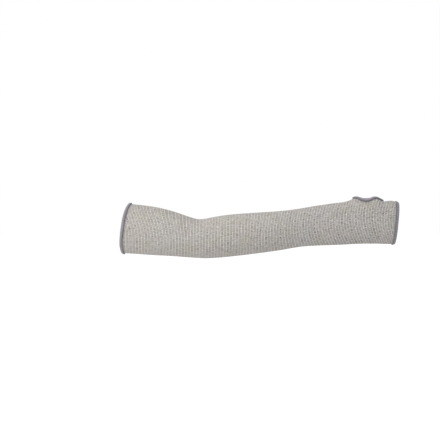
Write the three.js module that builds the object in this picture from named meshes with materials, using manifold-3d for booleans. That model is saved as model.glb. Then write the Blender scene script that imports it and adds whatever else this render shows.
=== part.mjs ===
// Cut resistant sleeve: a knitted tube with a thumb slot and three overlocked edges.
// Millimetres. X runs along the sleeve from the upper arm opening to the hand opening, Z is up
// on the thumb side, Y is across. The origin is the middle of the upper arm opening.

import * as THREE from 'three';
import { mergeVertices } from 'three/addons/utils/BufferGeometryUtils.js';
import Module from 'manifold-3d';

// Sizes of the worn sleeve
const sleeveLength = 560;
const openingHeight = 102;
const openingDepth = 100;
const clothWall = 1.6;

// Thumb slot: its far end's distance from the hand opening, its length, and how sharply the
// cloth under it is rounded. It keeps its place at that opening when the sleeve gets longer.
const slotToHandOpening = 83;
const slotLength = 51;
const slotTurnRadius = 25;
const slotStart = sleeveLength - slotToHandOpening;

// Sizes of the overlocked edging: its width over the cloth and the thickness of its thread
const edgingWidth = 7.2;
const edgingThread = 1.6;

// Clearances between the raw edge and the edging folded over it
const edgingFit = 0.3;
const slotEdgingFit = 0.45;

// The slot's cutter stands this far out of both faces, and its crown clears the rounded cloth
const cutterReach = 4;
const cutterCrown = 14;

// Fineness of the facets
const facetsRound = 40;
const facetCrowding = 0.3;
const facetsRoundSlot = 46;
const rimSamples = 400;
const slopeStep = 0.0005;
const walkSteps = 4;

// Finish
const knitColour = '#aca9a2';
const edgingColour = '#77727a';
const clothRoughness = 0.95;

// One row for each section of the worn sleeve, from the upper arm opening to the hand opening.
// along: share of the sleeve length. lean: forward lean of the top over half the height.
// top, bottom: heights over the origin as shares of the opening height.
// wide: share of the opening depth. bow: how far the sides stand back, share of half the height.
// square: power of the oval, 2 is an ellipse.
const sectionColumns = ['lean', 'top', 'bottom', 'wide', 'bow', 'square'];
const sections = [
  { along: 0.00, lean: 0.17, top: 0.50, bottom: -0.485, wide: 1.00, bow: 0.065, square: 2.0 },
  { along: 0.08, lean: 0.15, top: 0.45, bottom: -0.515, wide: 0.985, bow: 0.055, square: 2.0 },
  { along: 0.12, lean: 0.145, top: 0.41, bottom: -0.53, wide: 0.965, bow: 0.045, square: 2.0 },
  { along: 0.16, lean: 0.14, top: 0.355, bottom: -0.54, wide: 0.94, bow: 0.035, square: 2.0 },
  { along: 0.20, lean: 0.10, top: 0.29, bottom: -0.555, wide: 0.915, bow: 0.025, square: 2.05 },
  { along: 0.235, lean: 0.065, top: 0.23, bottom: -0.57, wide: 0.895, bow: 0.015, square: 2.1 },
  { along: 0.26, lean: 0.035, top: 0.195, bottom: -0.58, wide: 0.88, bow: 0, square: 2.1 },
  { along: 0.285, lean: 0.02, top: 0.19, bottom: -0.59, wide: 0.875, bow: 0, square: 2.1 },
  { along: 0.31, lean: 0.005, top: 0.215, bottom: -0.59, wide: 0.87, bow: 0, square: 2.1 },
  { along: 0.36, lean: -0.025, top: 0.26, bottom: -0.57, wide: 0.865, bow: 0, square: 2.0 },
  { along: 0.42, lean: -0.06, top: 0.295, bottom: -0.535, wide: 0.845, bow: 0, square: 2.0 },
  { along: 0.50, lean: -0.065, top: 0.325, bottom: -0.48, wide: 0.775, bow: 0, square: 2.0 },
  { along: 0.57, lean: -0.07, top: 0.35, bottom: -0.425, wide: 0.68, bow: 0, square: 2.05 },
  { along: 0.64, lean: -0.07, top: 0.395, bottom: -0.36, wide: 0.565, bow: 0, square: 2.15 },
  { along: 0.70, lean: -0.075, top: 0.45, bottom: -0.335, wide: 0.51, bow: 0, square: 2.2 },
  { along: 0.78, lean: -0.055, top: 0.515, bottom: -0.32, wide: 0.50, bow: 0, square: 2.2 },
  { along: 0.815, lean: -0.045, top: 0.54, bottom: -0.31, wide: 0.50, bow: 0, square: 2.2 },
  { along: 0.835, lean: -0.04, top: 0.575, bottom: -0.305, wide: 0.50, bow: 0, square: 2.15 },
  { along: 0.855, lean: -0.03, top: 0.635, bottom: -0.30, wide: 0.50, bow: 0, square: 2.1 },
  { along: 0.88, lean: -0.01, top: 0.645, bottom: -0.295, wide: 0.50, bow: 0, square: 2.1 },
  { along: 0.905, lean: 0.005, top: 0.645, bottom: -0.295, wide: 0.485, bow: 0, square: 2.1 },
  { along: 0.925, lean: 0.02, top: 0.64, bottom: -0.295, wide: 0.465, bow: 0, square: 2.15 },
  { along: 0.94, lean: 0.035, top: 0.60, bottom: -0.295, wide: 0.445, bow: 0, square: 2.2 },
  { along: 0.95, lean: 0.04, top: 0.565, bottom: -0.30, wide: 0.43, bow: 0, square: 2.25 },
  { along: 0.965, lean: 0.055, top: 0.54, bottom: -0.30, wide: 0.415, bow: 0, square: 2.3 },
  { along: 1.00, lean: 0.08, top: 0.53, bottom: -0.305, wide: 0.37, bow: 0, square: 2.5 },
];

// One row for each point of the thumb slot's raw edge, once round from its upper arm end.
// along: share of the slot length. swing: degrees from the top, the near side first.
const slotRim = [
  { along: 0.00, swing: 0 },
  { along: 0.03, swing: 8 },
  { along: 0.11, swing: 19 },
  { along: 0.21, swing: 27.5 },
  { along: 0.34, swing: 31.5 },
  { along: 0.48, swing: 30 },
  { along: 0.59, swing: 23.5 },
  { along: 0.71, swing: 17 },
  { along: 0.84, swing: 13.5 },
  { along: 0.95, swing: 9.5 },
  { along: 1.00, swing: 0 },
  { along: 0.95, swing: -10 },
  { along: 0.81, swing: -19 },
  { along: 0.59, swing: -25 },
  { along: 0.36, swing: -26 },
  { along: 0.18, swing: -19 },
  { along: 0.05, swing: -9 },
];

// One row for each stretch of the tube's facet rows. from, to: shares of the sleeve length.
const facetStretches = [
  { from: 0.010, to: 0.200, rows: 7 },
  { from: 0.200, to: 0.360, rows: 8 },
  { from: 0.360, to: 0.800, rows: 9 },
  { from: 0.800, to: 0.920, rows: 11 },
  { from: 0.920, to: 0.970, rows: 9 },
];

// Outline of the edging across its length, once round from the inner lip.
// away: share of the way from the cloth side end to the outer end, out: share of half the thickness.
const edgingOutline = [
  { away: 0.00, out: 0.74 },
  { away: 0.07, out: 1.00 },
  { away: 0.50, out: 1.06 },
  { away: 0.90, out: 0.78 },
  { away: 1.00, out: 0.00 },
  { away: 0.90, out: -0.78 },
  { away: 0.50, out: -1.06 },
  { away: 0.07, out: -1.00 },
  { away: 0.00, out: -0.74 },
];

const halfWall = clothWall / 2;
const quarterTurn = Math.PI / 2;
const edgingReach = edgingWidth - edgingFit - edgingThread;
const reachShare = edgingReach / sleeveLength;

// The cloth's middle surface, from the section table. Its angle is 0 at +Y and a quarter turn at
// the top.
const sectionShape = new THREE.CubicInterpolant(
  sections.map((row) => row.along),
  sections.flatMap((row) => sectionColumns.map((column) => row[column])),
  sectionColumns.length,
);

function clothMiddle(along, angle) {
  const inside = THREE.MathUtils.clamp(along, 0, 1);
  const [lean, top, bottom, wide, bow, square] = sectionShape.evaluate(inside);
  const halfHeight = openingHeight * (top - bottom) / 2;
  const midHeight = openingHeight * (top + bottom) / 2;
  const across = Math.cos(angle);
  const upward = Math.sin(angle);
  const corner = (Math.abs(across) ** square + Math.abs(upward) ** square) ** (-1 / square);
  return new THREE.Vector3(
    along * sleeveLength + halfHeight * (lean * upward * corner - bow * Math.cos(2 * angle)),
    openingDepth * wide / 2 * across * corner,
    midHeight + halfHeight * upward * corner,
  );
}

// How the surface runs per share of the length and per angle, and the direction square to it
function clothSlopes(along, angle) {
  const before = Math.max(along - slopeStep, 0);
  const after = Math.min(along + slopeStep, 1);
  const perAlong = clothMiddle(after, angle)
    .sub(clothMiddle(before, angle))
    .divideScalar(after - before);
  const perAngle = clothMiddle(along, angle + slopeStep)
    .sub(clothMiddle(along, angle - slopeStep))
    .divideScalar(2 * slopeStep);
  const normal = perAngle.clone().cross(perAlong).normalize();
  return { perAlong, perAngle, normal };
}

function clothPoint(along, angle, outward) {
  const { normal } = clothSlopes(along, angle);
  return clothMiddle(along, angle).addScaledVector(normal, outward);
}

// Steps over the surface from a place on it, towards a direction in its plane
function walkOnCloth(place, direction, distance) {
  const now = { ...place };
  for (let step = 0; step < walkSteps; step += 1) {
    const { perAlong, perAngle } = clothSlopes(now.along, now.angle);
    const part = direction.clone().multiplyScalar(distance / walkSteps);
    const aa = perAlong.dot(perAlong);
    const ab = perAlong.dot(perAngle);
    const bb = perAngle.dot(perAngle);
    const pa = part.dot(perAlong);
    const pb = part.dot(perAngle);
    const spread = aa * bb - ab * ab;
    now.along += (pa * bb - pb * ab) / spread;
    now.angle += (pb * aa - pa * ab) / spread;
  }
  return now;
}

// Joins rings of points into a mesh, each ring closed, with the last ring joined to the first
function ringsToGeometry(rings) {
  const count = rings[0].length;
  const places = rings.flat().flatMap((point) => point.toArray());
  const faces = [];
  rings.forEach((ring, row) => {
    const next = (row + 1) % rings.length;
    ring.forEach((point, column) => {
      const after = (column + 1) % count;
      const a = row * count + column;
      const b = row * count + after;
      const c = next * count + after;
      const d = next * count + column;
      faces.push(a, b, c, a, c, d);
    });
  });
  const geometry = new THREE.BufferGeometry();
  geometry.setAttribute('position', new THREE.Float32BufferAttribute(places, 3));
  geometry.setIndex(faces);
  return geometry;
}

// Turns every face round where the mesh is inside out
function turnedRight(geometry) {
  const place = geometry.getAttribute('position');
  const index = geometry.getIndex();
  const corner = (at) => new THREE.Vector3().fromBufferAttribute(place, index.getX(at));
  let volume = 0;
  for (let at = 0; at < index.count; at += 3) {
    volume += corner(at).dot(corner(at + 1).cross(corner(at + 2)));
  }
  if (volume < 0) {
    const flipped = [];
    for (let at = 0; at < index.count; at += 3) {
      flipped.push(index.getX(at), index.getX(at + 2), index.getX(at + 1));
    }
    geometry.setIndex(flipped);
  }
  return geometry;
}

const wasm = await Module();
wasm.setup();

function toManifold(geometry) {
  const bare = geometry.clone();
  bare.deleteAttribute('normal');
  bare.deleteAttribute('uv');
  const merged = mergeVertices(bare);
  return new wasm.Manifold(new wasm.Mesh({
    numProp: 3,
    vertProperties: new Float32Array(merged.getAttribute('position').array),
    triVerts: new Uint32Array(merged.getIndex().array),
  }));
}

function fromManifold(manifold) {
  const mesh = manifold.getMesh();
  const geometry = new THREE.BufferGeometry();
  const places = [];
  for (let vertex = 0; vertex < mesh.numVert; vertex += 1) {
    const start = vertex * mesh.numProp;
    places.push(...mesh.vertProperties.slice(start, start + 3));
  }
  geometry.setAttribute('position', new THREE.Float32BufferAttribute(places, 3));
  geometry.setIndex(Array.from(mesh.triVerts));
  return geometry;
}

function makeMaterial(colour) {
  return new THREE.MeshStandardMaterial({ color: colour, roughness: clothRoughness, metalness: 0 });
}

function makeMesh(name, geometry, colour) {
  const shaded = geometry.clone();
  shaded.computeVertexNormals();
  const mesh = new THREE.Mesh(shaded, makeMaterial(colour));
  mesh.name = name;
  return mesh;
}

// The thumb slot's raw edge as places on the cloth
const rimCurve = new THREE.CatmullRomCurve3(
  slotRim.map((row) => new THREE.Vector3(
    slotStart + row.along * slotLength,
    THREE.MathUtils.degToRad(row.swing) * slotTurnRadius,
    0,
  )),
  true,
);

// Stations along the rim lie closer where it turns, so that the edging's wide side stays smooth
function rimStations() {
  const places = [];
  const lengths = [0];
  for (let sample = 0; sample <= rimSamples; sample += 1) {
    const share = sample / rimSamples;
    const tangent = rimCurve.getTangentAt(share);
    const sideways = new THREE.Vector3(-tangent.y, tangent.x, 0);
    places.push(rimCurve.getPointAt(share).addScaledVector(sideways, edgingReach));
  }
  for (let sample = 1; sample <= rimSamples; sample += 1) {
    lengths.push(lengths[sample - 1] + places[sample].distanceTo(places[sample - 1]));
  }
  const stations = [];
  for (let station = 0; station < facetsRoundSlot; station += 1) {
    const wanted = lengths[rimSamples] * station / facetsRoundSlot;
    const after = lengths.findIndex((length) => length > wanted);
    const part = (wanted - lengths[after - 1]) / (lengths[after] - lengths[after - 1]);
    stations.push(rimCurve.getPointAt((after - 1 + part) / rimSamples));
  }
  return stations;
}

const rimPlaces = rimStations().map((point) => ({
  along: point.x / sleeveLength,
  angle: quarterTurn + point.y / slotTurnRadius,
}));

// A point in the open slot, which tells the side that faces into it
const slotMiddle = rimPlaces
  .reduce((sum, place) => sum.add(clothMiddle(place.along, place.angle)), new THREE.Vector3())
  .divideScalar(facetsRoundSlot);

// Directions at one station: square to the cloth, and in its plane into the slot
function rimFrame(place, number) {
  const before = rimPlaces[(number + facetsRoundSlot - 1) % facetsRoundSlot];
  const after = rimPlaces[(number + 1) % facetsRoundSlot];
  const forward = clothMiddle(after.along, after.angle)
    .sub(clothMiddle(before.along, before.angle))
    .normalize();
  const { normal } = clothSlopes(place.along, place.angle);
  const inward = forward.cross(normal).normalize();
  if (inward.dot(slotMiddle.clone().sub(clothMiddle(place.along, place.angle))) < 0) {
    inward.negate();
  }
  return { place, normal, inward };
}

// Knitted tube, outer and inner face with the two ends closed by the wall's thickness
const facetRows = [0, reachShare];
facetStretches.forEach((stretch) => {
  const start = Math.max(stretch.from, reachShare);
  for (let row = 1; row <= stretch.rows; row += 1) {
    facetRows.push(THREE.MathUtils.lerp(start, stretch.to, row / stretch.rows));
  }
});
facetRows.push(1 - reachShare, 1);

// Facets stand closer at the top, where the thumb slot is cut
const facetAngles = Array.from({ length: facetsRound }, (unused, facet) => {
  const turn = facet / facetsRound * 2 * Math.PI;
  return turn + facetCrowding * Math.cos(turn);
});

function ringAt(along, outward) {
  return facetAngles.map((angle) => clothPoint(along, angle, outward));
}

const outerRings = facetRows.map((along) => ringAt(along, halfWall));
const innerRings = facetRows.map((along) => ringAt(along, -halfWall)).reverse();
const wholeTube = toManifold(turnedRight(ringsToGeometry([...outerRings, ...innerRings])));

// Cutter for the thumb slot, a plug that stands square to the cloth
function slotCutter() {
  const rings = [cutterReach, -cutterReach].map((outward) => rimPlaces.map(
    (place) => clothPoint(place.along, place.angle, outward),
  ));
  const places = rings.flat().flatMap((point) => point.toArray());
  const caps = rings.map((ring) => {
    const middle = new THREE.Vector3();
    ring.forEach((point) => middle.add(point));
    return middle.divideScalar(ring.length);
  });
  caps[0].z += cutterCrown;
  caps.forEach((middle) => places.push(...middle.toArray()));
  const faces = [];
  const upperMiddle = 2 * facetsRoundSlot;
  const lowerMiddle = upperMiddle + 1;
  for (let at = 0; at < facetsRoundSlot; at += 1) {
    const next = (at + 1) % facetsRoundSlot;
    const low = facetsRoundSlot + at;
    const lowNext = facetsRoundSlot + next;
    faces.push(at, next, lowNext, at, lowNext, low);
    faces.push(upperMiddle, next, at);
    faces.push(lowerMiddle, low, lowNext);
  }
  const geometry = new THREE.BufferGeometry();
  geometry.setAttribute('position', new THREE.Float32BufferAttribute(places, 3));
  geometry.setIndex(faces);
  return toManifold(turnedRight(geometry));
}

const tubeGeometry = fromManifold(wholeTube.subtract(slotCutter()));

// Edging, a channel folded over a raw edge
function channelPoints(fit) {
  const opening = halfWall + fit;
  const halfThickness = opening + edgingThread;
  const reached = fit + edgingThread - edgingWidth;
  const outline = edgingOutline.map((row) => ({
    away: reached + row.away * edgingWidth,
    out: row.out * halfThickness,
  }));
  return [
    ...outline,
    { away: reached, out: -opening },
    { away: reached / 2, out: -opening },
    { away: fit, out: -opening },
    { away: fit, out: opening },
    { away: reached / 2, out: opening },
    { away: reached, out: opening },
  ];
}

// Edging round an end of the tube, which keeps to the cloth's own facets
function endEdging(edge, inwardSign) {
  const rings = channelPoints(edgingFit).map(({ away, out }) => facetAngles.map((angle) => {
    if (away <= 0) {
      return clothPoint(edge - inwardSign * away / sleeveLength, angle, out);
    }
    const { perAlong } = clothSlopes(edge, angle);
    const off = perAlong.normalize().multiplyScalar(-inwardSign * away);
    return clothPoint(edge, angle, out).add(off);
  }));
  return turnedRight(ringsToGeometry(rings));
}

// Edging round the thumb slot
function slotEdging() {
  const frames = rimPlaces.map(rimFrame);
  const rings = channelPoints(slotEdgingFit).map(({ away, out }) => frames.map((frame) => {
    const { place, normal, inward } = frame;
    if (away <= 0) {
      const reached = walkOnCloth(place, inward, away);
      return clothPoint(reached.along, reached.angle, out);
    }
    return clothMiddle(place.along, place.angle)
      .addScaledVector(normal, out)
      .addScaledVector(inward, away);
  }));
  return turnedRight(ringsToGeometry(rings));
}

const sleeve = new THREE.Group();
sleeve.name = 'cut_resistant_sleeve';
sleeve.add(makeMesh('sleeve_tube', tubeGeometry, knitColour));
sleeve.add(makeMesh('upper_arm_edging', endEdging(0, 1), edgingColour));
sleeve.add(makeMesh('hand_edging', endEdging(1, -1), edgingColour));
sleeve.add(makeMesh('thumb_edging', slotEdging(), edgingColour));

export default sleeve;
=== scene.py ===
import math
from collections import namedtuple

import bpy
import numpy as np
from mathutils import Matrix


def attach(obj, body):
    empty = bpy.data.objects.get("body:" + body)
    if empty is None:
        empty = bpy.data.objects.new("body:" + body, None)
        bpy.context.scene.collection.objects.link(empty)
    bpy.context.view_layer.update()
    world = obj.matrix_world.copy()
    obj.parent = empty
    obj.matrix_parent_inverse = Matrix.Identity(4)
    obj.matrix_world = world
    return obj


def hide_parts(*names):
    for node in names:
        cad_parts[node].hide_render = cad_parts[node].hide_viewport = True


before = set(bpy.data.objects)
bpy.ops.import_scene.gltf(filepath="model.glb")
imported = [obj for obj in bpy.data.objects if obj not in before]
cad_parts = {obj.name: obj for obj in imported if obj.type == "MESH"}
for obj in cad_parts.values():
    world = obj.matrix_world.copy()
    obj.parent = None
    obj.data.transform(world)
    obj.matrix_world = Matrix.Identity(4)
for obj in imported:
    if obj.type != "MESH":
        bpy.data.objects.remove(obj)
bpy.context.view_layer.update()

# Knitted tube: the body of the sleeve, knitted in the round from flecked cut resistant yarn,
# without a seam, purl side out. It is stretched as in wear, and its three raw edges, one of
# them cut for the thumb, carry the edgings.
SLEEVE_LENGTH = 0.560
OPENING_HEIGHT = 0.102
OPENING_DEPTH = 0.100
CLOTH_WALL = 0.0016

# Its form from the upper arm opening to the hand opening: how far the top leans forward, the
# top and bottom lines as shares of the height, the width as a share of the depth, how far top
# and bottom curl forward of the sides, and how square the section is.
Section = namedtuple("Section", "along lean top bottom wide bow square")
SECTIONS = [
    Section(0.00, 0.137, 0.50, -0.485, 1.00, 0.095, 2.0),
    Section(0.08, 0.125, 0.45, -0.515, 0.985, 0.08, 2.0),
    Section(0.12, 0.125, 0.41, -0.53, 0.965, 0.065, 2.0),
    Section(0.16, 0.125, 0.355, -0.54, 0.94, 0.05, 2.0),
    Section(0.20, 0.09, 0.29, -0.555, 0.915, 0.035, 2.05),
    Section(0.235, 0.06, 0.23, -0.57, 0.895, 0.02, 2.1),
    Section(0.26, 0.035, 0.195, -0.58, 0.88, 0, 2.1),
    Section(0.285, 0.02, 0.19, -0.59, 0.875, 0, 2.1),
    Section(0.31, 0.005, 0.215, -0.59, 0.87, 0, 2.1),
    Section(0.36, -0.025, 0.26, -0.57, 0.865, 0, 2.0),
    Section(0.42, -0.06, 0.295, -0.535, 0.845, 0, 2.0),
    Section(0.50, -0.065, 0.325, -0.48, 0.775, 0, 2.0),
    Section(0.57, -0.07, 0.35, -0.425, 0.68, 0, 2.05),
    Section(0.64, -0.07, 0.395, -0.36, 0.565, 0, 2.15),
    Section(0.70, -0.075, 0.45, -0.335, 0.51, 0, 2.2),
    Section(0.78, -0.055, 0.515, -0.32, 0.50, 0, 2.2),
    Section(0.815, -0.045, 0.54, -0.31, 0.50, 0, 2.2),
    Section(0.835, -0.04, 0.575, -0.305, 0.50, 0, 2.15),
    Section(0.855, -0.03, 0.635, -0.30, 0.50, 0, 2.1),
    Section(0.88, -0.01, 0.645, -0.295, 0.50, 0, 2.1),
    Section(0.905, 0.005, 0.645, -0.295, 0.485, 0, 2.1),
    Section(0.925, 0.02, 0.64, -0.295, 0.465, 0, 2.15),
    Section(0.94, 0.035, 0.588, -0.295, 0.445, 0, 2.2),
    Section(0.95, 0.04, 0.55, -0.30, 0.43, 0, 2.25),
    Section(0.962, 0.052, 0.557, -0.30, 0.418, 0, 2.3),
    Section(0.982, 0.068, 0.56, -0.302, 0.392, 0, 2.4),
    Section(1.00, 0.095, 0.522, -0.298, 0.37, -0.01, 2.5),
]
SECTION_STEPS = np.array([section.along for section in SECTIONS])
SECTION_VALUES = np.array([section[1:] for section in SECTIONS])


def smooth_rows(steps, rows, wanted):
    """Rows at the wanted steps, on a smooth curve through the given ones."""
    slopes = np.diff(rows, axis=0) / np.diff(steps)[:, None]
    tangents = np.vstack([slopes[:1], (slopes[1:] + slopes[:-1]) / 2, slopes[-1:]])
    after = np.clip(np.searchsorted(steps, wanted, side="right"), 1, len(steps) - 1)
    before = after - 1
    span = (steps[after] - steps[before])[..., None]
    part = (wanted - steps[before])[..., None] / span
    return (
        (1 + 2 * part) * (1 - part) ** 2 * rows[before]
        + part * (1 - part) ** 2 * span * tangents[before]
        + part**2 * (3 - 2 * part) * rows[after]
        + part**2 * (part - 1) * span * tangents[after]
    )


def cloth_middle(along, angle):
    """Points of the cloth's middle surface. The angle is 0 at +Y and a quarter turn at the top."""
    along, angle = np.broadcast_arrays(np.asarray(along, float), np.asarray(angle, float))
    values = smooth_rows(SECTION_STEPS, SECTION_VALUES, np.clip(along, 0, 1))
    lean, top, bottom, wide, bow, square = np.moveaxis(values, -1, 0)
    half_height = OPENING_HEIGHT * (top - bottom) / 2
    across, upward = np.cos(angle), np.sin(angle)
    corner = (np.abs(across) ** square + np.abs(upward) ** square) ** (-1 / square)
    height = upward * corner
    return np.stack([
        along * SLEEVE_LENGTH + half_height * (lean * height + bow * (height**4 - 0.5)),
        OPENING_DEPTH * wide / 2 * across * corner,
        OPENING_HEIGHT * (top + bottom) / 2 + half_height * height,
    ], axis=-1)


def cloth_slopes(along, angle, step=0.0005):
    """How the surface runs along and round the sleeve, and the direction square to it."""
    before, after = np.maximum(along - step, 0), np.minimum(along + step, 1)
    per_along = cloth_middle(after, angle) - cloth_middle(before, angle)
    per_along /= np.asarray(after - before)[..., None]
    per_angle = (cloth_middle(along, angle + step) - cloth_middle(along, angle - step)) / (2 * step)
    normal = np.cross(per_angle, per_along)
    return per_along, per_angle, normal / np.linalg.norm(normal, axis=-1, keepdims=True)


def cloth_point(along, angle, outward):
    """Points of the cloth that stand outward metres off its middle surface."""
    along, angle = np.broadcast_arrays(np.asarray(along, float), np.asarray(angle, float))
    normal = cloth_slopes(along, angle)[2]
    return cloth_middle(along, angle) + normal * np.asarray(outward)[..., None]


# Thumb slot: its raw edge, once round from its upper arm end, with the near side first
SLOT_START = 0.477
SLOT_LENGTH = 0.051
SLOT_TURN_RADIUS = 0.025
RimPoint = namedtuple("RimPoint", "along swing")
SLOT_RIM = [
    RimPoint(0.00, 0),
    RimPoint(0.03, 8),
    RimPoint(0.11, 19),
    RimPoint(0.21, 27.5),
    RimPoint(0.34, 31.5),
    RimPoint(0.48, 30),
    RimPoint(0.59, 23.5),
    RimPoint(0.71, 17),
    RimPoint(0.84, 13.5),
    RimPoint(0.95, 9.5),
    RimPoint(1.00, 0),
    RimPoint(0.95, -10),
    RimPoint(0.81, -19),
    RimPoint(0.59, -25),
    RimPoint(0.36, -26),
    RimPoint(0.18, -19),
    RimPoint(0.05, -9),
]


def slot_rim(count):
    """The slot's raw edge as count evenly spaced points, unrolled flat: along it, and round."""
    corners = np.array([
        (SLOT_START + point.along * SLOT_LENGTH, math.radians(point.swing) * SLOT_TURN_RADIUS)
        for point in SLOT_RIM
    ])
    wrap = 3
    ring = np.vstack([corners[-wrap:], corners, corners[: wrap + 1]])
    steps = np.arange(-wrap, len(corners) + wrap + 1, dtype=float)
    fine = smooth_rows(steps, ring, np.linspace(0, len(corners), 1201))
    lengths = np.concatenate([[0], np.cumsum(np.linalg.norm(np.diff(fine, axis=0), axis=1))])
    wanted = np.arange(count) / count * lengths[-1]
    return np.stack([np.interp(wanted, lengths, fine[:, axis]) for axis in (0, 1)], axis=-1)


def rim_to_cloth(flat):
    """Where unrolled points of the slot lie on the cloth: share of the length, and angle."""
    return flat[..., 0] / SLEEVE_LENGTH, math.pi / 2 + flat[..., 1] / SLOT_TURN_RADIUS


def inside_slot(along, angle, margin):
    """Which places on the cloth lie in the open slot, or closer to it than the margin."""
    rim = slot_rim(160)
    centre = rim.mean(axis=0)
    outward = rim - centre
    reach = np.linalg.norm(outward, axis=1)
    bearing = np.arctan2(outward[:, 1], outward[:, 0])
    order = np.argsort(bearing)
    place = np.stack([
        along * SLEEVE_LENGTH, (angle - math.pi / 2) * SLOT_TURN_RADIUS,
    ], axis=-1) - centre
    limit = np.interp(
        np.arctan2(place[..., 1], place[..., 0]), bearing[order], reach[order], period=2 * math.pi,
    )
    return np.linalg.norm(place, axis=-1) < limit + margin


# Courses come in pairs, of which the second is drawn in tighter than the first. The pairs lie
# 6.3 mm apart at the wide end, which is stretched most, and 5.5 mm at the narrow end.
# There are 128 stitches in each course, 2.5 mm wide at the wide end.
COURSE_PAIRS = 95
COURSE_CROWDING = 0.073
ROWS_PER_PAIR = 4
FACETS_ROUND = 108
WALES = 128
RIDGE_HEIGHT = 0.00023
SECOND_RIDGE = 0.45


# Wear drags the courses out of upright: back over the top of the wide end, forward under the
# narrow end. slant and bow are shares of half the height, for a course that passes the middle
# there.
CourseDrag = namedtuple("CourseDrag", "along slant bow")
COURSE_DRAGS = [
    CourseDrag(0.00, -0.30, -0.26),
    CourseDrag(0.12, -0.30, -0.26),
    CourseDrag(0.20, -0.18, -0.16),
    CourseDrag(0.28, 0.00, -0.03),
    CourseDrag(0.36, 0.05, 0.00),
    CourseDrag(0.43, 0.10, 0.02),
    CourseDrag(0.51, 0.12, 0.12),
    CourseDrag(0.58, 0.10, 0.20),
    CourseDrag(0.65, 0.05, 0.25),
    CourseDrag(0.73, 0.00, 0.30),
    CourseDrag(0.80, -0.03, 0.31),
    CourseDrag(0.88, -0.07, 0.31),
    CourseDrag(1.00, -0.17, 0.30),
]
DRAG_STEPS = np.array([drag.along for drag in COURSE_DRAGS])
DRAG_VALUES = np.array([drag[1:] for drag in COURSE_DRAGS])


def along_of_pair(pair, angle):
    """Where a pair of courses lies at an angle, as a share of the sleeve's length."""
    wanted = pair / COURSE_PAIRS * (1 + COURSE_CROWDING)
    middle = (-1 + np.sqrt(1 + 4 * COURSE_CROWDING * wanted)) / (2 * COURSE_CROWDING)
    within = np.clip(middle, 0, 1)
    slant, bow = np.moveaxis(smooth_rows(DRAG_STEPS, DRAG_VALUES, within), -1, 0)
    top, bottom = np.moveaxis(smooth_rows(SECTION_STEPS, SECTION_VALUES, within)[..., 1:3], -1, 0)
    half_height = OPENING_HEIGHT * (top - bottom) / 2
    height = np.sin(angle)
    return middle + half_height * (slant * height + bow * height**2) / SLEEVE_LENGTH


def mesh_object(name, points, faces, uv=None):
    """A smooth mesh, with one UV pair for each face corner where uv is given."""
    mesh = bpy.data.meshes.new(name)
    mesh.from_pydata(points.tolist(), [], faces)
    if uv is not None:
        layer = mesh.uv_layers.new(name="cloth")
        layer.data.foreach_set("uv", uv.reshape(-1))
    mesh.polygons.foreach_set("use_smooth", [True] * len(mesh.polygons))
    mesh.update()
    made = bpy.data.objects.new(name, mesh)
    bpy.context.scene.collection.objects.link(made)
    return made


def make_knitted_tube():
    """Outer and inner face of the knit, closed at both ends and round the slot."""
    spare = 1
    rows = (COURSE_PAIRS + 2 * spare) * ROWS_PER_PAIR + 1
    pairs = np.linspace(-spare, COURSE_PAIRS + spare, rows)
    columns = FACETS_ROUND
    pair, turn = np.meshgrid(pairs, np.arange(columns) / columns, indexing="ij")
    angle = 2 * math.pi * turn
    raw = along_of_pair(pair, angle)

    # the courses that run off an end stop there, each column at its own first and last row
    along = np.clip(raw, 0, 1)
    column_index = np.arange(columns)
    first = np.maximum((raw <= 0).sum(axis=0) - 1, 0)
    last = np.minimum(rows - (raw >= 1).sum(axis=0), rows - 1)
    for column in range(columns):
        low, high = np.interp((0, 1), raw[:, column], pairs)
        pair[:, column] = np.clip(pair[:, column], low, high)
    row_index = np.arange(rows)[:, None]
    kept_row = np.clip(row_index, first[None, :], last[None, :])
    point_index = kept_row * columns + column_index[None, :]

    phase = np.cos(2 * math.pi * pair)
    ridge = (np.abs(phase) * np.where(phase > 0, 1, SECOND_RIDGE) - 0.5) * RIDGE_HEIGHT
    outer = cloth_point(along, angle, CLOTH_WALL / 2 + ridge)
    inner = cloth_point(along, angle, -CLOTH_WALL / 2 + ridge)

    row, column = np.meshgrid(np.arange(rows - 1), column_index, indexing="ij")
    after = (column + 1) % columns
    quads = np.stack([
        point_index[row, column],
        point_index[row + 1, column],
        point_index[row + 1, after],
        point_index[row, after],
    ], axis=-1)
    middle_along = (along[:-1] + along[1:]) / 2
    middle_angle = angle[:-1] + math.pi / columns
    open_slot = inside_slot(middle_along, middle_angle, 0.0014)
    flat = (quads[..., 0] == quads[..., 1]) & (quads[..., 2] == quads[..., 3])
    kept = ~(open_slot | flat)
    quads, column = quads[kept], column[kept]

    # a side of the kept faces that no second face shares borders an opening
    total = rows * columns
    sides = np.concatenate([quads[:, [k, (k + 1) % 4]] for k in range(4)])
    sides = sides[sides[:, 0] != sides[:, 1]]
    codes = sides[:, 0] * total + sides[:, 1]
    border = sides[~np.isin(sides[:, 1] * total + sides[:, 0], codes)]
    rims = np.stack([border[:, 1], border[:, 0], border[:, 0] + total, border[:, 1] + total], axis=-1)

    turns = np.stack([column, column, column + 1, column + 1], axis=-1) / columns
    rim_turns = rims % total % columns / columns
    corners = np.vstack([quads, quads[:, ::-1] + total, rims])
    turns = np.vstack([turns, turns[:, ::-1], rim_turns])
    uv = np.stack([turns * WALES, pair.reshape(-1)[corners % total]], axis=-1)

    # a course that runs out at an end leaves triangles beside its last stitch
    fresh = corners != np.roll(corners, 1, axis=1)
    used, places = np.unique(corners, return_inverse=True)
    points = np.vstack([outer.reshape(-1, 3), inner.reshape(-1, 3)])[used]
    places = places.reshape(corners.shape)
    faces = [place[use].tolist() for place, use in zip(places, fresh)]
    return mesh_object("knitted_tube", points, faces, uv[fresh])


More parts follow.
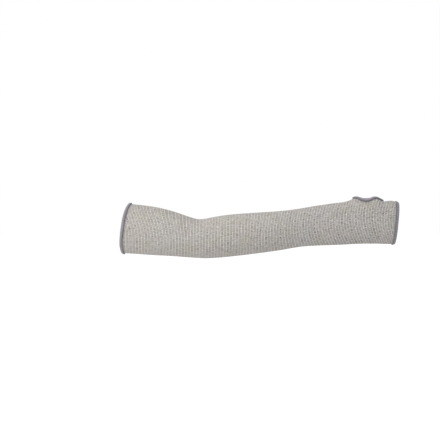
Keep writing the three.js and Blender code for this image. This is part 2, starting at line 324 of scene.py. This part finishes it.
def linear(colour):
    """A colour written as sRGB hex digits, as linear red, green, blue and full alpha."""
    shares = [int(colour[k:k + 2], 16) / 255 for k in (0, 2, 4)]
    return [s / 12.92 if s <= 0.04045 else ((s + 0.055) / 1.055) ** 2.4 for s in shares] + [1]


def add_node(tree, kind, settings=None, links=None):
    """One node in a tree, with its settings, and with values or sockets for its inputs."""
    node = tree.nodes.new(kind)
    for name, value in (settings or {}).items():
        setattr(node, name, value)
    for name, value in (links or {}).items():
        if isinstance(value, bpy.types.NodeSocket):
            tree.links.new(value, node.inputs[name])
        else:
            node.inputs[name].default_value = value
    return node


def new_material(name):
    """An empty material with a principled shader, and its node tree."""
    material = bpy.data.materials.new(name)
    material.use_nodes = True
    tree = material.node_tree
    return material, tree, tree.nodes["Principled BSDF"]


# Cut resistant yarn: polyethylene, glass and nylon filaments twisted with a little yellow aramid,
# left undyed. The eye sees a matt grey-beige full of pale and dark flecks, each about a stitch
# long because the twisted plies turn their colours up in turn, with a faint olive or rosy cast,
# and a cooler, slightly darker grey towards the narrow end.
YARN_BASE = "b9b6b1"
YARN_COOL = "b1b1b3"
YARN_PALE = "d8d5d1"
YARN_DARK = "6a6765"
YARN_OLIVE = "b2b2a2"
YARN_ROSE = "b8aeaa"
# painted shade: the colour that darkens the yarn in the grooves between the courses
GROOVE_SHADE = "b4b2b0"
LOOP_WAVE = 0.2


def knit_material():
    """The knit: arcs of yarn in rows, with flecks that follow each row, and painted shade in the
    grooves between the rows.
    """
    material, tree, shader = new_material("cut_resistant_knit")

    def maths(operation, a, b=0.0, c=0.0):
        node = add_node(tree, "ShaderNodeMath", {"operation": operation}, {0: a, 1: b, 2: c})
        return node.outputs[0]

    def noise(wale, row, layer, detail):
        place = add_node(tree, "ShaderNodeCombineXYZ", {}, {0: wale, 1: row, 2: layer})
        node = add_node(tree, "ShaderNodeTexNoise", {}, {
            "Vector": place.outputs[0], "Scale": 1.0, "Detail": detail, "Roughness": 0.6,
        })
        return node.outputs["Fac"]

    def ramp(value, low, high, full=1.0):
        node = add_node(tree, "ShaderNodeMapRange", {"interpolation_type": "SMOOTHSTEP"}, {
            "Value": value, "From Min": low, "From Max": high, "To Max": full,
        })
        return node.outputs["Result"]

    def mixed(share, a, b, blend="MIX"):
        node = add_node(tree, "ShaderNodeMix", {"data_type": "RGBA", "blend_type": blend}, {
            0: share, 6: a, 7: b,
        })
        return node.outputs[2]

    uv = add_node(tree, "ShaderNodeUVMap", {"uv_map": "cloth"}).outputs[0]
    split = add_node(tree, "ShaderNodeSeparateXYZ", {}, {0: uv})
    wale, pair = split.outputs[0], split.outputs[1]
    course = maths("MULTIPLY", pair, 2.0)

    # a course is a row of arcs bent up and down in turn, which dip under the next at each bend
    wave = maths("SINE", maths("MULTIPLY", wale, 2 * math.pi))
    waved = maths("MULTIPLY_ADD", wave, LOOP_WAVE, course)
    ridge = maths("MULTIPLY_ADD", maths("COSINE", maths("MULTIPLY", waved, 2 * math.pi)), 0.5, 0.5)
    lead = maths("MULTIPLY_ADD", maths("COSINE", maths("MULTIPLY", course, math.pi)), 0.5, 0.5)
    strong = maths("MULTIPLY_ADD", lead, 0.15, 0.85)
    arc = maths("MULTIPLY_ADD", maths("ABSOLUTE", wave), 0.4, 0.6)

    # each course has its own run of flecks: pale ones show most on the leading course of a pair,
    # and dark ones in the tighter course between, stronger where the stitches lie closer
    row = maths("FLOOR", maths("ADD", waved, 0.5))
    row_place = maths("MULTIPLY", row, 3.7)
    pale_run = noise(maths("MULTIPLY", wale, 1.5), row_place, 0.0, 2.0)
    dark_run = noise(maths("MULTIPLY", wale, 2.2), row_place, 30.0, 1.0)
    closer = maths("MULTIPLY_ADD", pair, 0.4 / COURSE_PAIRS, 0.7)
    pale_share = maths("MULTIPLY", maths("MULTIPLY_ADD", lead, 0.65, 0.25), closer)
    dark_share = maths("MULTIPLY", maths("MULTIPLY_ADD", lead, -0.7, 1.0), closer)
    pale = maths("MULTIPLY", ramp(pale_run, 0.46, 0.6), pale_share)
    dark = maths("MULTIPLY", ramp(dark_run, 0.53, 0.36), dark_share)
    patch = noise(maths("MULTIPLY", wale, 0.05), maths("MULTIPLY", pair, 0.11), 9.0, 1.0)
    cast = noise(maths("MULTIPLY", wale, 0.07), maths("MULTIPLY", pair, 0.16), 14.0, 1.0)

    # the colour turns a cooler, slightly darker grey towards the narrow end
    colour = mixed(ramp(pair, 45.0, 62.0, 0.4), linear(YARN_BASE), linear(YARN_COOL))
    colour = mixed(ramp(patch, 0.42, 0.62, 0.4), colour, linear(YARN_ROSE))
    colour = mixed(ramp(cast, 0.5, 0.66, 0.4), colour, linear(YARN_OLIVE))
    colour = mixed(pale, colour, linear(YARN_PALE))
    colour = mixed(dark, colour, linear(YARN_DARK))
    # painted shade: the yarn colour darkens where it falls away into the grooves between the courses
    # and under the bends of the arcs
    height = maths("MULTIPLY", maths("MULTIPLY", ridge, strong), arc)
    painted_groove_shade = mixed(1.0, colour, linear(GROOVE_SHADE), "MULTIPLY")
    colour = mixed(maths("SUBTRACT", 1.0, height), colour, painted_groove_shade)

    # fine fibres on the yarn, 0.3 mm across
    fibres = noise(maths("MULTIPLY", wale, 4.0), maths("MULTIPLY", pair, 16.0), 21.0, 2.0)
    bump = add_node(tree, "ShaderNodeBump", {}, {
        "Strength": 0.8, "Distance": 0.0007, "Height": maths("MULTIPLY_ADD", fibres, 0.35, height),
    })
    tree.links.new(colour, shader.inputs["Base Color"])
    tree.links.new(bump.outputs[0], shader.inputs["Normal"])
    shader.inputs["Roughness"].default_value = 0.9
    shader.inputs["Specular IOR Level"].default_value = 0.2
    return material


knitted_tube = make_knitted_tube()
knitted_tube.data.materials.append(knit_material())
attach(knitted_tube, "root")
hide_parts("sleeve_tube")

# Upper arm edging: the rolled band over the raw edge of the wide opening, sewn on an overlock
# machine from grey textured thread. Its stitches cross the edge one beside another and hold
# the knit between them. The wide opening stretches this one, which leaves it the narrowest.
UPPER_EDGING_WIDTH = 0.0060
UPPER_EDGING_THREAD = 0.0016
UPPER_STATIONS = 300
EDGING_FIT = 0.0003
STITCH_BED = 0.0004
EdgingPoint = namedtuple("EdgingPoint", "away out")
EDGING_OUTLINE = [
    EdgingPoint(0.00, 0.74),
    EdgingPoint(0.07, 1.00),
    EdgingPoint(0.50, 1.06),
    EdgingPoint(0.90, 0.78),
    EdgingPoint(1.00, 0.00),
    EdgingPoint(0.90, -0.78),
    EdgingPoint(0.50, -1.06),
    EdgingPoint(0.07, -1.00),
    EdgingPoint(0.00, -0.74),
]


class EndEdge:
    """The raw edge at one end of the tube."""

    def __init__(self, edge, inward, width, thread):
        self.edge, self.inward = edge, inward
        self.width, self.thread, self.fit = width, thread, EDGING_FIT
        fine = np.linspace(0, 2 * math.pi, 721)
        ring = cloth_middle(np.full(721, float(edge)), fine)
        lengths = np.concatenate([[0], np.cumsum(np.linalg.norm(np.diff(ring, axis=0), axis=1))])
        self.fine, self.lengths, self.length = fine, lengths, lengths[-1]

    def points(self, station, away, out):
        """Points beside the edge: at a share of its length, away from the cloth, and out of it."""
        station, away, out = np.broadcast_arrays(station, away, out)
        angle = np.interp(station % 1 * self.length, self.lengths, self.fine)
        on_cloth = np.minimum(away, 0)
        along = self.edge - self.inward * on_cloth / SLEEVE_LENGTH
        per_along = cloth_slopes(np.full(angle.shape, float(self.edge)), angle)[0]
        off = per_along / np.linalg.norm(per_along, axis=-1, keepdims=True)
        return cloth_point(along, angle, out) - off * (self.inward * np.maximum(away, 0))[..., None]


def band_outline(edge, shares, sunk):
    """The edging's rounded outline from lip to lip over the raw edge, sunk below its surface."""
    steps = np.linspace(0, 1, len(EDGING_OUTLINE))
    rows = smooth_rows(steps, np.array(EDGING_OUTLINE, float), shares)
    half_thickness = CLOTH_WALL / 2 + edge.fit + edge.thread - sunk
    start = edge.fit + edge.thread - edge.width
    return start + rows[..., 0] * (edge.width - sunk), rows[..., 1] * half_thickness


def make_band(name, edge, stations):
    """The closed channel of the edging, from the same outline at every station."""
    away, out = band_outline(edge, np.linspace(0, 1, 25), STITCH_BED)
    opening = CLOTH_WALL / 2 + edge.fit
    away = np.concatenate([away, [away[0], away[0] / 2, edge.fit, edge.fit, away[0] / 2, away[0]]])
    out = np.concatenate([out, [-opening, -opening, -opening, opening, opening, opening]])
    share = np.arange(stations) / stations
    points = edge.points(share[:, None], away[None, :], out[None, :])
    count = len(away)
    row, column = np.meshgrid(np.arange(stations), np.arange(count), indexing="ij")
    after, beside = (row + 1) % stations, (column + 1) % count
    faces = np.stack([
        row * count + column, row * count + beside, after * count + beside, after * count + column,
    ], axis=-1).reshape(-1, 4)
    across = np.stack([column, column + 1, column + 1, column], axis=-1) / count
    length = np.stack([row, row, row + 1, row + 1], axis=-1) / stations * edge.length * 1000
    uv = np.stack([length, across], axis=-1).reshape(-1, 4, 2)
    made = mesh_object(name, points.reshape(-1, 3), faces.tolist(), uv)
    turned = sum(
        face.normal.dot(face.center) * face.area for face in made.data.polygons
    )
    if turned < 0:
        made.data.flip_normals()
    return made


# Overlock thread: spun polyester and textured nylon, dyed a cool grey. The eye sees it matt and
# a little furry, with light and dark fibres side by side. The darkest colour, on the band under the
# loops and on the needle thread, is partly the needle thread's own darker grey and partly painted
# shade along the lips beside the knit and between the loops.
THREAD_GREY = "7d797f"
THREAD_DARK_WITH_SHADE = "3f3c42"
THREAD_PALE = "9a959b"


def thread_material(name, colour, other):
    """Sewing thread whose fibres run from one colour to the other."""
    material, tree, shader = new_material(name)
    place = add_node(tree, "ShaderNodeTexCoord").outputs["Object"]
    fibres = add_node(tree, "ShaderNodeTexNoise", {}, {
        "Vector": place, "Scale": 900.0, "Detail": 3.0, "Roughness": 0.65,
    }).outputs["Fac"]
    shade = add_node(tree, "ShaderNodeMix", {"data_type": "RGBA"}, {
        0: fibres, 6: linear(colour), 7: linear(other),
    }).outputs[2]
    bump = add_node(tree, "ShaderNodeBump", {}, {
        "Strength": 0.5, "Distance": 0.0003, "Height": fibres,
    })
    tree.links.new(shade, shader.inputs["Base Color"])
    tree.links.new(bump.outputs[0], shader.inputs["Normal"])
    shader.inputs["Roughness"].default_value = 0.85
    shader.inputs["Specular IOR Level"].default_value = 0.3
    shader.inputs["Sheen Weight"].default_value = 0.2
    return material


# the darkest thread colour is partly painted shade: it covers the band, seen along the lips and
# between the loops, and the needle thread beside the knit
band_thread_with_shade = thread_material("edging_under_thread_with_shade", THREAD_DARK_WITH_SHADE, THREAD_GREY)
loop_thread = thread_material("edging_loop_thread", THREAD_GREY, THREAD_PALE)

# Stitches of the overlock: looper threads cross the band one after another, from one lip over
# the raw edge to the other, slanting a little. They lock into each other along the raw edge,
# and the needle thread holds them down in a row of short stitches along both lips. Its dark
# colour is partly its own and partly painted shade beside the knit.
STITCH_SPACING = 0.0020
LOOP_THREAD_RADIUS = 0.0006
LOOP_SLANT = 0.7
LOOP_START = 0.19
NEEDLE_THREAD_RADIUS = 0.0006
NEEDLE_LINE = 0.0008
LOCK_THREAD_RADIUS = 0.00045
STITCH_UNEVENNESS = 0.16
unevenness = np.random.default_rng(7)


def thread_tree():
    """Turns strings of edges into round threads of one radius."""
    tree = bpy.data.node_groups.new("lay_threads", "GeometryNodeTree")
    tree.interface.new_socket("Geometry", in_out="INPUT", socket_type="NodeSocketGeometry")
    tree.interface.new_socket("Thread radius", in_out="INPUT", socket_type="NodeSocketFloat")
    tree.interface.new_socket("Sides", in_out="INPUT", socket_type="NodeSocketInt")
    tree.interface.new_socket("Material", in_out="INPUT", socket_type="NodeSocketMaterial")
    tree.interface.new_socket("Geometry", in_out="OUTPUT", socket_type="NodeSocketGeometry")
    given = add_node(tree, "NodeGroupInput")
    lines = add_node(tree, "GeometryNodeMeshToCurve", {}, {0: given.outputs["Geometry"]})
    ring = add_node(tree, "GeometryNodeCurvePrimitiveCircle", {}, {
        "Resolution": given.outputs["Sides"], "Radius": given.outputs["Thread radius"],
    })
    tube = add_node(tree, "GeometryNodeCurveToMesh", {}, {
        "Curve": lines.outputs[0], "Profile Curve": ring.outputs[0], "Fill Caps": True,
    })
    smooth = add_node(tree, "GeometryNodeSetShadeSmooth", {}, {0: tube.outputs[0]})
    real = add_node(tree, "GeometryNodeRealizeInstances", {}, {0: smooth.outputs[0]})
    finished = add_node(tree, "GeometryNodeSetMaterial", {}, {
        "Geometry": real.outputs[0], "Material": given.outputs["Material"],
    })
    add_node(tree, "NodeGroupOutput", {}, {0: finished.outputs[0]})
    return tree


lay_threads = thread_tree()


def make_threads(name, strings, radius, material):
    """Round threads along strings of points, as one plain mesh."""
    count, length, _axes = strings.shape
    start = np.arange(count)[:, None] * length + np.arange(length - 1)[None, :]
    edges = np.stack([start, start + 1], axis=-1).reshape(-1, 2)
    carrier_mesh = bpy.data.meshes.new(name + "_strings")
    carrier_mesh.from_pydata(strings.reshape(-1, 3).tolist(), edges.tolist(), [])
    carrier = bpy.data.objects.new(name + "_strings", carrier_mesh)
    bpy.context.scene.collection.objects.link(carrier)
    modifier = carrier.modifiers.new("threads", "NODES")
    modifier.node_group = lay_threads
    inputs = {
        item.name: item.identifier
        for item in lay_threads.interface.items_tree
        if item.in_out == "INPUT"
    }
    modifier[inputs["Thread radius"]] = radius
    modifier[inputs["Sides"]] = 6
    modifier[inputs["Material"]] = material
    depsgraph = bpy.context.evaluated_depsgraph_get()
    mesh = bpy.data.meshes.new_from_object(carrier.evaluated_get(depsgraph))
    mesh.name = name
    bpy.data.objects.remove(carrier)
    made = bpy.data.objects.new(name, mesh)
    bpy.context.scene.collection.objects.link(made)
    return made


def stitch_count(edge):
    """How many stitches go round an edge."""
    return round(edge.length / STITCH_SPACING)


def loop_strings(edge):
    """One looper thread for each stitch, once over the band."""
    count = stitch_count(edge)
    shares = np.linspace(LOOP_START, 1 - LOOP_START, 11)
    away, out = band_outline(edge, shares, STITCH_BED - LOOP_THREAD_RADIUS * 0.4)
    uneven = unevenness.uniform(-STITCH_UNEVENNESS, STITCH_UNEVENNESS, (count, 1))
    station = (np.arange(count)[:, None] + uneven + LOOP_SLANT * (shares - 0.5)[None, :]) / count
    return edge.points(station, away[None, :], out[None, :])


def needle_strings(edge):
    """The needle thread's short stitches along the outer and the inner lip."""
    count = stitch_count(edge)
    shares = np.linspace(0, 1, 5)
    start = edge.fit + edge.thread - edge.width + NEEDLE_LINE
    height = CLOTH_WALL / 2 + edge.fit + edge.thread - STITCH_BED
    arch = height + np.sin(shares * math.pi) * NEEDLE_THREAD_RADIUS
    station = (np.arange(count)[:, None] + 0.9 * shares[None, :]) / count
    outer = edge.points(station, np.float64(start), arch[None, :])
    inner = edge.points(station, np.float64(start), -arch[None, :])
    return np.concatenate([outer, inner])


def lock_strings(edge):
    """The looper threads' locks: small waves along the raw edge."""
    count = stitch_count(edge)
    shares = np.linspace(0, 1, 7)
    away = edge.fit + edge.thread + LOOP_THREAD_RADIUS * 0.3
    out = np.sin(shares * 2 * math.pi) * LOOP_THREAD_RADIUS
    station = (np.arange(count)[:, None] + shares[None, :]) / count
    return edge.points(station, np.float64(away), out[None, :])


def make_edging(node, edge, stations):
    """The band and the stitches over one raw edge, in place of the edging's node."""
    band = make_band(node + "_band", edge, stations)
    # the band's dark colour paints shade along the lips and between the loops
    band.data.materials.append(band_thread_with_shade)
    loops = make_threads(node + "_loops", loop_strings(edge), LOOP_THREAD_RADIUS, loop_thread)
    needle = make_threads(node + "_needle", needle_strings(edge), NEEDLE_THREAD_RADIUS, band_thread_with_shade)
    locks = make_threads(node + "_locks", lock_strings(edge), LOCK_THREAD_RADIUS, loop_thread)
    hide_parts(node)
    pieces = [band, loops, needle, locks]
    for piece in pieces:
        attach(piece, "root")
    return pieces


upper_edge = EndEdge(0, 1, UPPER_EDGING_WIDTH, UPPER_EDGING_THREAD)
upper_arm_pieces = make_edging("upper_arm_edging", upper_edge, UPPER_STATIONS)

# Hand edging: the same overlocked thread over the raw edge of the narrow opening. It's pressed
# flatter than the others, so it lies nearly level with the knit beside it.
HAND_EDGING_WIDTH = 0.0066
HAND_EDGING_THREAD = 0.0010
HAND_STATIONS = 220

hand_edge = EndEdge(1, -1, HAND_EDGING_WIDTH, HAND_EDGING_THREAD)
hand_pieces = make_edging("hand_edging", hand_edge, HAND_STATIONS)

# Thumb edging: the same overlocked thread over the raw edge of the slot that is cut for the thumb.
# It follows the slot over the top of the sleeve, a little looser on the knit than the others.
THUMB_EDGING_WIDTH = 0.0072
THUMB_EDGING_THREAD = 0.0016
THUMB_EDGING_FIT = 0.00045
THUMB_STATIONS = 180


def walk_on_cloth(along, angle, direction, distance):
    """Places reached by going a distance over the cloth, towards a direction in its plane."""
    along, angle = along.copy(), angle.copy()
    steps = 4
    for _ in range(steps):
        per_along, per_angle, _normal = cloth_slopes(along, angle)
        part = direction * (distance / steps)[..., None]
        aa = (per_along * per_along).sum(-1)
        ab = (per_along * per_angle).sum(-1)
        bb = (per_angle * per_angle).sum(-1)
        pa, pb = (part * per_along).sum(-1), (part * per_angle).sum(-1)
        spread = aa * bb - ab * ab
        along += (pa * bb - pb * ab) / spread
        angle += (pb * aa - pa * ab) / spread
    return along, angle


class SlotEdge:
    """The raw edge round the thumb slot."""

    def __init__(self, width, thread, fit):
        self.width, self.thread, self.fit = width, thread, fit
        self.rim = slot_rim(900)
        along, angle = rim_to_cloth(self.rim)
        ring = cloth_middle(along, angle)
        forward = np.roll(ring, -4, axis=0) - np.roll(ring, 4, axis=0)
        forward /= np.linalg.norm(forward, axis=1, keepdims=True)
        normal = cloth_slopes(along, angle)[2]
        inward = np.cross(forward, normal)
        if ((ring.mean(axis=0) - ring) * inward).sum() < 0:
            inward = -inward
        self.inward = inward / np.linalg.norm(inward, axis=1, keepdims=True)
        self.normal = normal
        self.length = np.linalg.norm(np.roll(ring, -1, axis=0) - ring, axis=1).sum()

    def points(self, station, away, out):
        """Points beside the edge: at a share of its length, away from the cloth, and out of it."""
        station, away, out = np.broadcast_arrays(station, away, out)
        place = station % 1 * len(self.rim)
        low = np.floor(place).astype(int) % len(self.rim)
        part = (place - np.floor(place))[..., None]

        def between(rows):
            return rows[low] * (1 - part) + rows[(low + 1) % len(rows)] * part

        along, angle = rim_to_cloth(between(self.rim))
        inward, normal = between(self.inward), between(self.normal)
        reached = walk_on_cloth(along, angle, inward, np.minimum(away, 0))
        over = inward * np.maximum(away, 0)[..., None]
        stepped = cloth_point(*reached, out)
        beyond = cloth_middle(along, angle) + normal * out[..., None] + over
        return np.where((away > 0)[..., None], beyond, stepped)


thumb_edge = SlotEdge(THUMB_EDGING_WIDTH, THUMB_EDGING_THREAD, THUMB_EDGING_FIT)
thumb_pieces = make_edging("thumb_edging", thumb_edge, THUMB_STATIONS)

# Floor: a wide, plain, pale studio floor, far below the sleeve, which is held up as in wear.
FLOOR_DROP = 0.62
FLOOR_RADIUS = 40.0
FLOOR_GREY = "dcdcdc"

turn = np.arange(96) / 96 * 2 * math.pi
floor = mesh_object("floor", np.stack([
    FLOOR_RADIUS * np.cos(turn), FLOOR_RADIUS * np.sin(turn), np.full(96, -FLOOR_DROP),
], axis=-1), [list(range(96))])
floor_material, _tree, floor_shader = new_material("matt_floor")
floor_shader.inputs["Base Color"].default_value = linear(FLOOR_GREY)
floor_shader.inputs["Roughness"].default_value = 0.9
floor.data.materials.append(floor_material)

# Light: a white room, a broad soft light from above and the left, and a softbox near the
# wide end. Together they leave the underside of the sleeve in a gentle shade.
AIM = (0.1, 0.0, 0.0)
CEILING_FROM = (-0.45, -0.5, 1.0)
CEILING_STRENGTH = 2.2
CEILING_SPREAD = math.radians(50)
SOFTBOX_PLACE = (-0.5, -0.75, -0.15)
SOFTBOX_SIZE = 0.5
SOFTBOX_POWER = 4.2


def add_light(name, kind, place, settings):
    """A light at a place, turned so that it shines at the aim."""
    light = bpy.data.lights.new(name, kind)
    for setting, value in settings.items():
        setattr(light, setting, value)
    placed = bpy.data.objects.new(name, light)
    placed.location = place
    across, deep, up = np.array(AIM) - np.array(place)
    placed.rotation_euler = (
        math.pi / 2 + math.atan2(up, math.hypot(across, deep)), 0, math.atan2(-across, deep),
    )
    bpy.context.scene.collection.objects.link(placed)


add_light("ceiling", "SUN", CEILING_FROM, {
    "energy": CEILING_STRENGTH, "angle": CEILING_SPREAD,
})
add_light("softbox", "AREA", SOFTBOX_PLACE, {
    "energy": SOFTBOX_POWER, "size": SOFTBOX_SIZE, "shape": "DISK",
})

world = bpy.data.worlds.new("white_room")
world.use_nodes = True
world.node_tree.nodes["Background"].inputs["Color"].default_value = (1, 1, 1, 1)
world.node_tree.nodes["Background"].inputs["Strength"].default_value = 1.0
bpy.context.scene.world = world
bpy.context.scene.view_settings.view_transform = "Standard"

# Camera: level, square to the sleeve's near side, with the whole sleeve and room round it.
PHOTO_SIZE = 440
PHOTO_SCALE = 0.00207
OPENING_COLUMN = 125.3
OPENING_LINE = 228.8
CAMERA_DISTANCE = 2.0
SENSOR = 36.0

camera_data = bpy.data.cameras.new("camera")
camera_data.sensor_width = SENSOR
camera_data.lens = SENSOR * CAMERA_DISTANCE / (PHOTO_SIZE * PHOTO_SCALE)
camera = bpy.data.objects.new("camera", camera_data)
camera.location = (
    (PHOTO_SIZE / 2 - OPENING_COLUMN) * PHOTO_SCALE,
    -CAMERA_DISTANCE,
    (OPENING_LINE - PHOTO_SIZE / 2) * PHOTO_SCALE,
)
camera.rotation_euler = (math.pi / 2, 0, 0)
bpy.context.scene.collection.objects.link(camera)
bpy.context.scene.camera = camera
